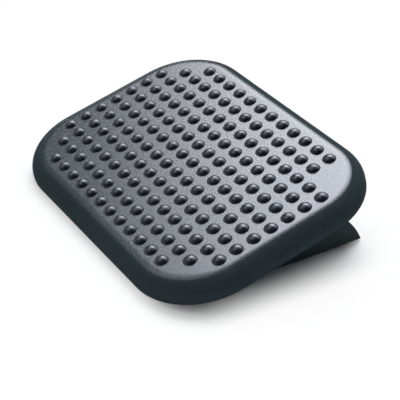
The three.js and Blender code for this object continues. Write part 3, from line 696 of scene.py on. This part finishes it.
class Paint:
    """One material: node() adds any node, feed() links values to the shader's sockets."""

    def __init__(self, name, **constants):
        self.material = bpy.data.materials.new(name)
        self.material.use_nodes = True
        self.tree = self.material.node_tree
        self.shader = self.tree.nodes["Principled BSDF"]
        self.place = self.node("ShaderNodeTexCoord", {}, {}, "Object")
        for socket, value in constants.items():
            self.shader.inputs[socket.replace("_", " ")].default_value = value

    def node(self, kind, settings, inputs, output=0):
        """Adds a node: its settings first, then the values or links of its sockets."""
        made = self.tree.nodes.new(kind)
        for key, value in settings.items():
            setattr(made, key, value)
        for key, value in inputs.items():
            if isinstance(value, Socket):
                self.tree.links.new(value.out, made.inputs[key])
            else:
                made.inputs[key].default_value = value
        return Socket(self, made.outputs[output])

    def vector(self, operation, inputs, output=0):
        """A Vector Math node."""
        return self.node("ShaderNodeVectorMath", {"operation": operation}, inputs, output)

    def height_above(self, normal, level):
        """Distance in metres from a plane: the place's share along its normal, less the plane's level."""
        return self.vector("DOT_PRODUCT", {0: self.place, 1: normal}, "Value") - level

    def beyond(self, half, near, far):
        """Rises from 0 to 1 with the distance from a flat box about the origin, given by its half sides."""
        past = self.vector("SUBTRACT", {0: self.vector("ABSOLUTE", {0: self.place}), 1: half})
        distance = self.vector("LENGTH", {0: self.vector("MAXIMUM", {0: past, 1: (0, 0, 0)})}, "Value")
        return self.node("ShaderNodeMapRange", {"interpolation_type": "SMOOTHSTEP"},
                         {"Value": distance, "From Min": near, "From Max": far})

    def noise(self, scale, detail=3.0, roughness=0.55):
        """Cloud noise on the piece's own metres, about 0.5 on average."""
        return self.node("ShaderNodeTexNoise", {}, {"Vector": self.place, "Scale": scale,
                                                    "Detail": detail, "Roughness": roughness})

    def between(self, value, low, high, first=0.0, last=1.0):
        """Maps a value from low..high to first..last, held at the ends."""
        return self.node("ShaderNodeMapRange", {}, {"Value": value, "From Min": low, "From Max": high,
                                                    "To Min": first, "To Max": last})

    def blend(self, factor, first, second):
        """A colour between two colours."""
        return self.node("ShaderNodeMix", {"data_type": "RGBA"}, {0: factor, 6: first, 7: second}, 2)

    def feed(self, **sockets):
        """Links values to the shader's sockets, an underscore standing for a space."""
        for key, value in sockets.items():
            self.tree.links.new(value.out, self.shader.inputs[key.replace("_", " ")])

    def relief(self, height, distance):
        """A normal bent by a height, scaled to a distance in metres."""
        return self.node("ShaderNodeBump", {}, {"Height": height, "Distance": distance})

    def laid_over(self, factor, second):
        """Mixes a second shader over the first by a factor."""
        first = Socket(self, self.shader.outputs[0])
        both = self.node("ShaderNodeMixShader", {}, {0: factor, 1: first, 2: second})
        self.tree.links.new(both.out, self.tree.nodes["Material Output"].inputs["Surface"])


def srgb(red, green, blue):
    """An 8-bit display colour as a linear one."""
    c = np.array([red, green, blue]) / 255.0
    return (*np.where(c <= 0.04045, c / 12.92, ((c + 0.055) / 1.055) ** 2.4).tolist(), 1.0)


# Noise scales count per metre of the piece, relief depths and heights are in metres.
CLOUD_SCALE = 14.0
GRAIN_SCALE = 900.0
DECK_GRAIN_SCALE = 520.0
GRAIN_NOISE = (2.0, 0.6)
GRAIN_BAND = (0.35, 0.65)
CLOUD_BAND = (0.3, 0.7)
MOTTLE_BAND = (0.35, 0.7)
NOISE_MEAN = 0.5
GRAIN_SHARE = 0.4
DECK_CLOUD_SHARE = 0.3
DECK_GLOSS_BAND = (0.35, 0.95)
DECK_TONES = (srgb(36, 49, 54), srgb(54, 66, 72))
DECK_ROUGHNESS = (0.19, 0.34)
DECK_RELIEF = 0.00011
# DECK_GLOSS and DOME_GLOSS set the IOR above a plain plastic's and tint the reflections blue: painted sheen,
# brighter and bluer than these lamps give from the plastic alone.
DECK_GLOSS = {"IOR": 1.69, "Specular_Tint": (0.88, 0.9, 1.0, 1.0)}
DECK_NORMAL = np.array([0.0, -math.sin(TILT), math.cos(TILT)])
# The skirt tones, shine and roughness make the deck's sides a matt, nearly shineless, slightly darker copy
# of its plastic: painted shade on the rolled rim, walls and underside.
SKIRT_SHADED_TONES = (srgb(40, 50, 54), srgb(50, 60, 65))
SKIRT_ROUGHNESS = (0.72, 0.86)
SKIRT_SHINE = 0.03
SKIRT_RELIEF = 0.00003
SKIRT_FADE = (-0.00005, -0.0018)
# The domes' tone is near-black navy, far darker than the deck's though both are one plastic: painted shade
# standing in for the dark sides of the domes.
DOME_SHADED_TONES = (srgb(4, 10, 21), srgb(10, 17, 30))
DOME_ROUGHNESS = (0.33, 0.4)
DOME_RELIEF = 0.000008
DOME_GLOSS = {"IOR": 1.74, "Specular_Tint": (0.79, 0.875, 1.0, 1.0)}
BASE_TONES = (srgb(25, 36, 41), srgb(35, 45, 51))
BASE_ROUGHNESS = (0.57, 0.64)
BASE_RELIEF = 0.00006
BASE_GLOSS = {"IOR": 1.5, "Specular_IOR_Level": 0.15}
NYLON_TONES = (srgb(28, 30, 32), srgb(38, 40, 42))
NYLON_ROUGHNESS = (0.42, 0.49)
NYLON_RELIEF = 0.00003
ACETAL_TONES = (srgb(208, 202, 188), srgb(222, 217, 204))
ACETAL_ROUGHNESS = (0.32, 0.39)
ACETAL_RELIEF = 0.00001
RUBBER_TONES = (srgb(20, 21, 22), srgb(36, 37, 38))
RUBBER_ROUGHNESS = (0.82, 0.95)
RUBBER_BLOOM = (60.0, 4.0)
RUBBER_TOOTH = (2400.0, 2.0)
RUBBER_RELIEF = 0.00004
STEEL_TONES = (srgb(150, 153, 156), srgb(190, 192, 194))
STEEL_ROUGHNESS = (0.28, 0.42)
STEEL_MOTTLE = (220.0, 4.0)
STEEL_MARKS = (1800.0, 2.0)
STEEL_RELIEF = 0.00002


def grained(name, tones, grain_scale, **constants):
    """A plastic's paint, coloured by faint flow clouds and a fine grain, with these two and their mean."""
    paint = Paint(name, **constants)
    cloud = paint.noise(CLOUD_SCALE)
    fine = paint.noise(grain_scale, *GRAIN_NOISE)
    tone = paint.between(0.5 * cloud + fine * 0.5, *GRAIN_BAND)
    paint.feed(Base_Color=paint.blend(tone, *tones))
    return paint, cloud, fine, tone


def moulded_plastic(name, tones, roughness, relief, **constants):
    """Moulded plastic: a spark-eroded grain that also speckles the colour, and faint flow clouds."""
    paint, cloud, fine, _ = grained(name, tones, GRAIN_SCALE, **constants)
    gloss = paint.between(cloud + (fine - NOISE_MEAN) * GRAIN_SHARE, *CLOUD_BAND, *roughness)
    paint.feed(Roughness=gloss, Normal=paint.relief(fine, relief))
    return paint.material


def deck_plastic(name):
    """The deck's plastic: satin on top; down the skirt and under the deck a matt, nearly shineless, slightly
    darker copy of it, painted shade that keeps the rolled rim and walls dark.
    """
    paint, cloud, fine, tone = grained(name, DECK_TONES, DECK_GRAIN_SCALE, **DECK_GLOSS)
    gloss = paint.between(DECK_CLOUD_SHARE * cloud + fine, *DECK_GLOSS_BAND, *DECK_ROUGHNESS)
    paint.feed(Roughness=gloss, Normal=paint.relief(fine, DECK_RELIEF))
    flat = float(PIVOT @ DECK_NORMAL + RIM_HEIGHT) * MM
    # Mask of the painted shade: 0 on the flat top, 1 just below its edge, down the skirt and under the deck.
    shaded_skirt = paint.between(paint.height_above(tuple(DECK_NORMAL), flat), *SKIRT_FADE)
    skirt = {"Base Color": paint.blend(tone, *SKIRT_SHADED_TONES), "Specular IOR Level": SKIRT_SHINE,
             "Roughness": paint.between(cloud, *CLOUD_BAND, *SKIRT_ROUGHNESS),
             "Normal": paint.relief(fine, SKIRT_RELIEF)}
    paint.laid_over(shaded_skirt, paint.node("ShaderNodeBsdfPrincipled", {}, skirt))
    return paint.material


def rubber(name):
    """Matt rubber: a dusty bloom and a very fine tooth."""
    paint = Paint(name)
    bloom = paint.noise(*RUBBER_BLOOM)
    paint.feed(Base_Color=paint.blend(paint.between(bloom, *MOTTLE_BAND), *RUBBER_TONES),
               Roughness=paint.between(bloom, *CLOUD_BAND, *RUBBER_ROUGHNESS),
               Normal=paint.relief(paint.noise(*RUBBER_TOOTH), RUBBER_RELIEF))
    return paint.material


def plated_steel(name):
    """Zinc-plated turned steel: mottled plating over very fine tool marks."""
    paint = Paint(name, Metallic=1.0)
    mottle = paint.noise(*STEEL_MOTTLE)
    paint.feed(Base_Color=paint.blend(paint.between(mottle, *MOTTLE_BAND), *STEEL_TONES),
               Roughness=paint.between(mottle, *CLOUD_BAND, *STEEL_ROUGHNESS),
               Normal=paint.relief(paint.noise(*STEEL_MARKS), STEEL_RELIEF))
    return paint.material


DECK_PLASTIC = deck_plastic("satin_charcoal_plastic")
DOME_PLASTIC = moulded_plastic("smooth_charcoal_plastic", DOME_SHADED_TONES, DOME_ROUGHNESS, DOME_RELIEF,
                               **DOME_GLOSS)
BASE_PLASTIC = moulded_plastic("grained_charcoal_plastic", BASE_TONES, BASE_ROUGHNESS, BASE_RELIEF,
                               **BASE_GLOSS)
NYLON = moulded_plastic("black_nylon", NYLON_TONES, NYLON_ROUGHNESS, NYLON_RELIEF)
ACETAL = moulded_plastic("natural_acetal", ACETAL_TONES, ACETAL_ROUGHNESS, ACETAL_RELIEF)
FINISH = {"steel": plated_steel("plated_steel"), "washer_acetal": ACETAL,
          "rubber": rubber("matt_black_rubber")}


def build_pieces():
    """Dresses every CAD node: each piece stands for one, or shares the platform with the domes."""
    tray = deck_shell().joined(deck_ribs(), deck_posts()).moved(deck_to_part)
    piece("deck_moulding", tray, "deck", DECK_PLASTIC, ("platform",))
    piece("massage_domes", domes().moved(deck_to_part), "deck", DOME_PLASTIC)
    drum = drum_shell().joined(drum_inside()).moved(drum_to_part)
    piece("base_moulding", drum, "stand", BASE_PLASTIC, ("base",))
    for name, body, slot, profile, place in turned_pieces():
        piece(name + "_turned", Shape().turned(profile).moved(place), body, FINISH[slot], (name,))
    for side, sign in SIDES:
        piece(f"hinge_bracket_{side}_moulding", bracket(sign * HINGE_X), "deck", NYLON,
              (f"hinge_bracket_{side}",), eased=BRACKET_EDGE)
        for place, way in (("inner", -1), ("outer", 1)):
            spot = sign * (HINGE_X + way * SCREW_FROM_EAR)
            piece(f"bracket_screw_{side}_{place}_turned", screw().at(spot, 0.0).moved(pin_to_part), "deck",
                  FINISH["steel"], (f"bracket_screw_{side}_{place}",))


# Floor, room, lights and camera, in metres and degrees.
FLOOR_REACH = 12.0
SWEEP = 3.5
SWEEP_STEPS = 10
FLOOR_SIDES = 96
FLOOR_BELOW = 0.0002
FLOOR_PAINT = {"Base_Color": (0.87, 0.9, 0.91, 1.0), "Roughness": 0.9, "Specular_IOR_Level": 0.1}
# The floor's white glow is painted light: it grows from GLOW_FADE's near to far distance past GLOW_BOX round
# the footprint, washing the shadow out beyond it.
FLOOR_GLOW_SHARE = 0.92
GLOW_BOX = (0.1617, 0.0969, 0.0)
GLOW_FADE = (0.018, 0.09)
SEEN_RAYS = ("Is Camera Ray", "Is Glossy Ray", "Is Transmission Ray")
WHITE = (1, 1, 1, 1)
ROOM_LIGHT = 0.03
LENS = 115.39
SENSOR_WIDTH = 36.0
CAMERA_RIGHT = Vector((0.531818, 0.846676, 0.017572))
CAMERA_UP = Vector((-0.46249, 0.272995, 0.84355))
CAMERA_PLACE = Vector((1.200937, -0.759107, 0.911031))

# Name, strength, width, bearing and height.
SOFTBOXES = (("softbox_behind_left", 2.9, 38.5, 144.7, 48.6),
             ("softbox_behind", 1.0, 44.0, 107.0, 43.0),
             ("softbox_front_left", 0.8, 46.0, 224.0, 56.0))


def white_sweep():
    """Pale paint, and away from the footprint a share of white glow for the rays that see the floor: painted
    light that washes the object's shadow out there, keeping it only near the footprint.
    """
    paint = Paint("white_sweep", **FLOOR_PAINT)
    seen = sum(paint.node("ShaderNodeLightPath", {}, {}, kind) for kind in SEEN_RAYS)
    # Painted light: the glow's share rises away from the footprint, so the shadow fades there.
    shadow_washout = paint.beyond(GLOW_BOX, *GLOW_FADE)
    white = paint.node("ShaderNodeEmission", {}, {"Color": WHITE, "Strength": 1.0})
    paint.laid_over(seen * shadow_washout * FLOOR_GLOW_SHARE, white)
    return paint.material


def studio_floor():
    """A wide pale disc whose edge sweeps up through a quarter circle, as one profile turned about Z."""
    mesh = bpy.data.meshes.new("floor")
    t = np.linspace(0, math.pi / 2, SWEEP_STEPS)[:, None]
    a = np.linspace(0, 2 * math.pi, FLOOR_SIDES, endpoint=False)
    radius = FLOOR_REACH + SWEEP * np.sin(t)
    height = SWEEP * (1 - np.cos(t)) - FLOOR_BELOW
    points = np.stack(np.broadcast_arrays(radius * np.cos(a), radius * np.sin(a), height), -1)
    faces = [range(FLOOR_SIDES), *grid_faces(SWEEP_STEPS, FLOOR_SIDES)[:, ::-1].tolist()]
    mesh.from_pydata(points.reshape(-1, 3).tolist(), [], faces)
    mesh.shade_smooth()
    floor = bpy.data.objects.new("floor", mesh)
    bpy.context.scene.collection.objects.link(floor)
    mesh.materials.append(white_sweep())


def studio_room():
    """A dim even room round the floor."""
    world = bpy.data.worlds.new("studio_room")
    bpy.context.scene.world = world
    world.use_nodes = True
    background = world.node_tree.nodes["Background"]
    background.inputs["Color"].default_value = WHITE
    background.inputs["Strength"].default_value = ROOM_LIGHT


def photo_camera():
    """The photograph's camera, solved from the lattice of domes and the deck's outline."""
    data = bpy.data.cameras.new("camera")
    data.lens = LENS
    data.sensor_width = SENSOR_WIDTH
    back = CAMERA_RIGHT.cross(CAMERA_UP)
    turn = Matrix((CAMERA_RIGHT, CAMERA_UP, back)).transposed().to_4x4()
    turn.translation = CAMERA_PLACE
    camera = bpy.data.objects.new("camera", data)
    camera.matrix_world = turn
    bpy.context.scene.collection.objects.link(camera)
    bpy.context.scene.camera = camera


def far_softbox(name, strength, width, around, above):
    """A round soft light far away: its strength, and its width, bearing and height in degrees."""
    data = bpy.data.lights.new(name, "SUN")
    data.energy = strength
    data.angle = math.radians(width)
    light = bpy.data.objects.new(name, data)
    bearing, height = math.radians(around), math.radians(above)
    towards = Vector((math.cos(height) * math.cos(bearing), math.cos(height) * math.sin(bearing),
                      math.sin(height)))
    light.rotation_euler = towards.to_track_quat("Z", "Y").to_euler()
    bpy.context.scene.collection.objects.link(light)


build_pieces()
studio_floor()
studio_room()
photo_camera()
for softbox in SOFTBOXES:
    far_softbox(*softbox)
bpy.context.scene.view_settings.view_transform = "Standard"
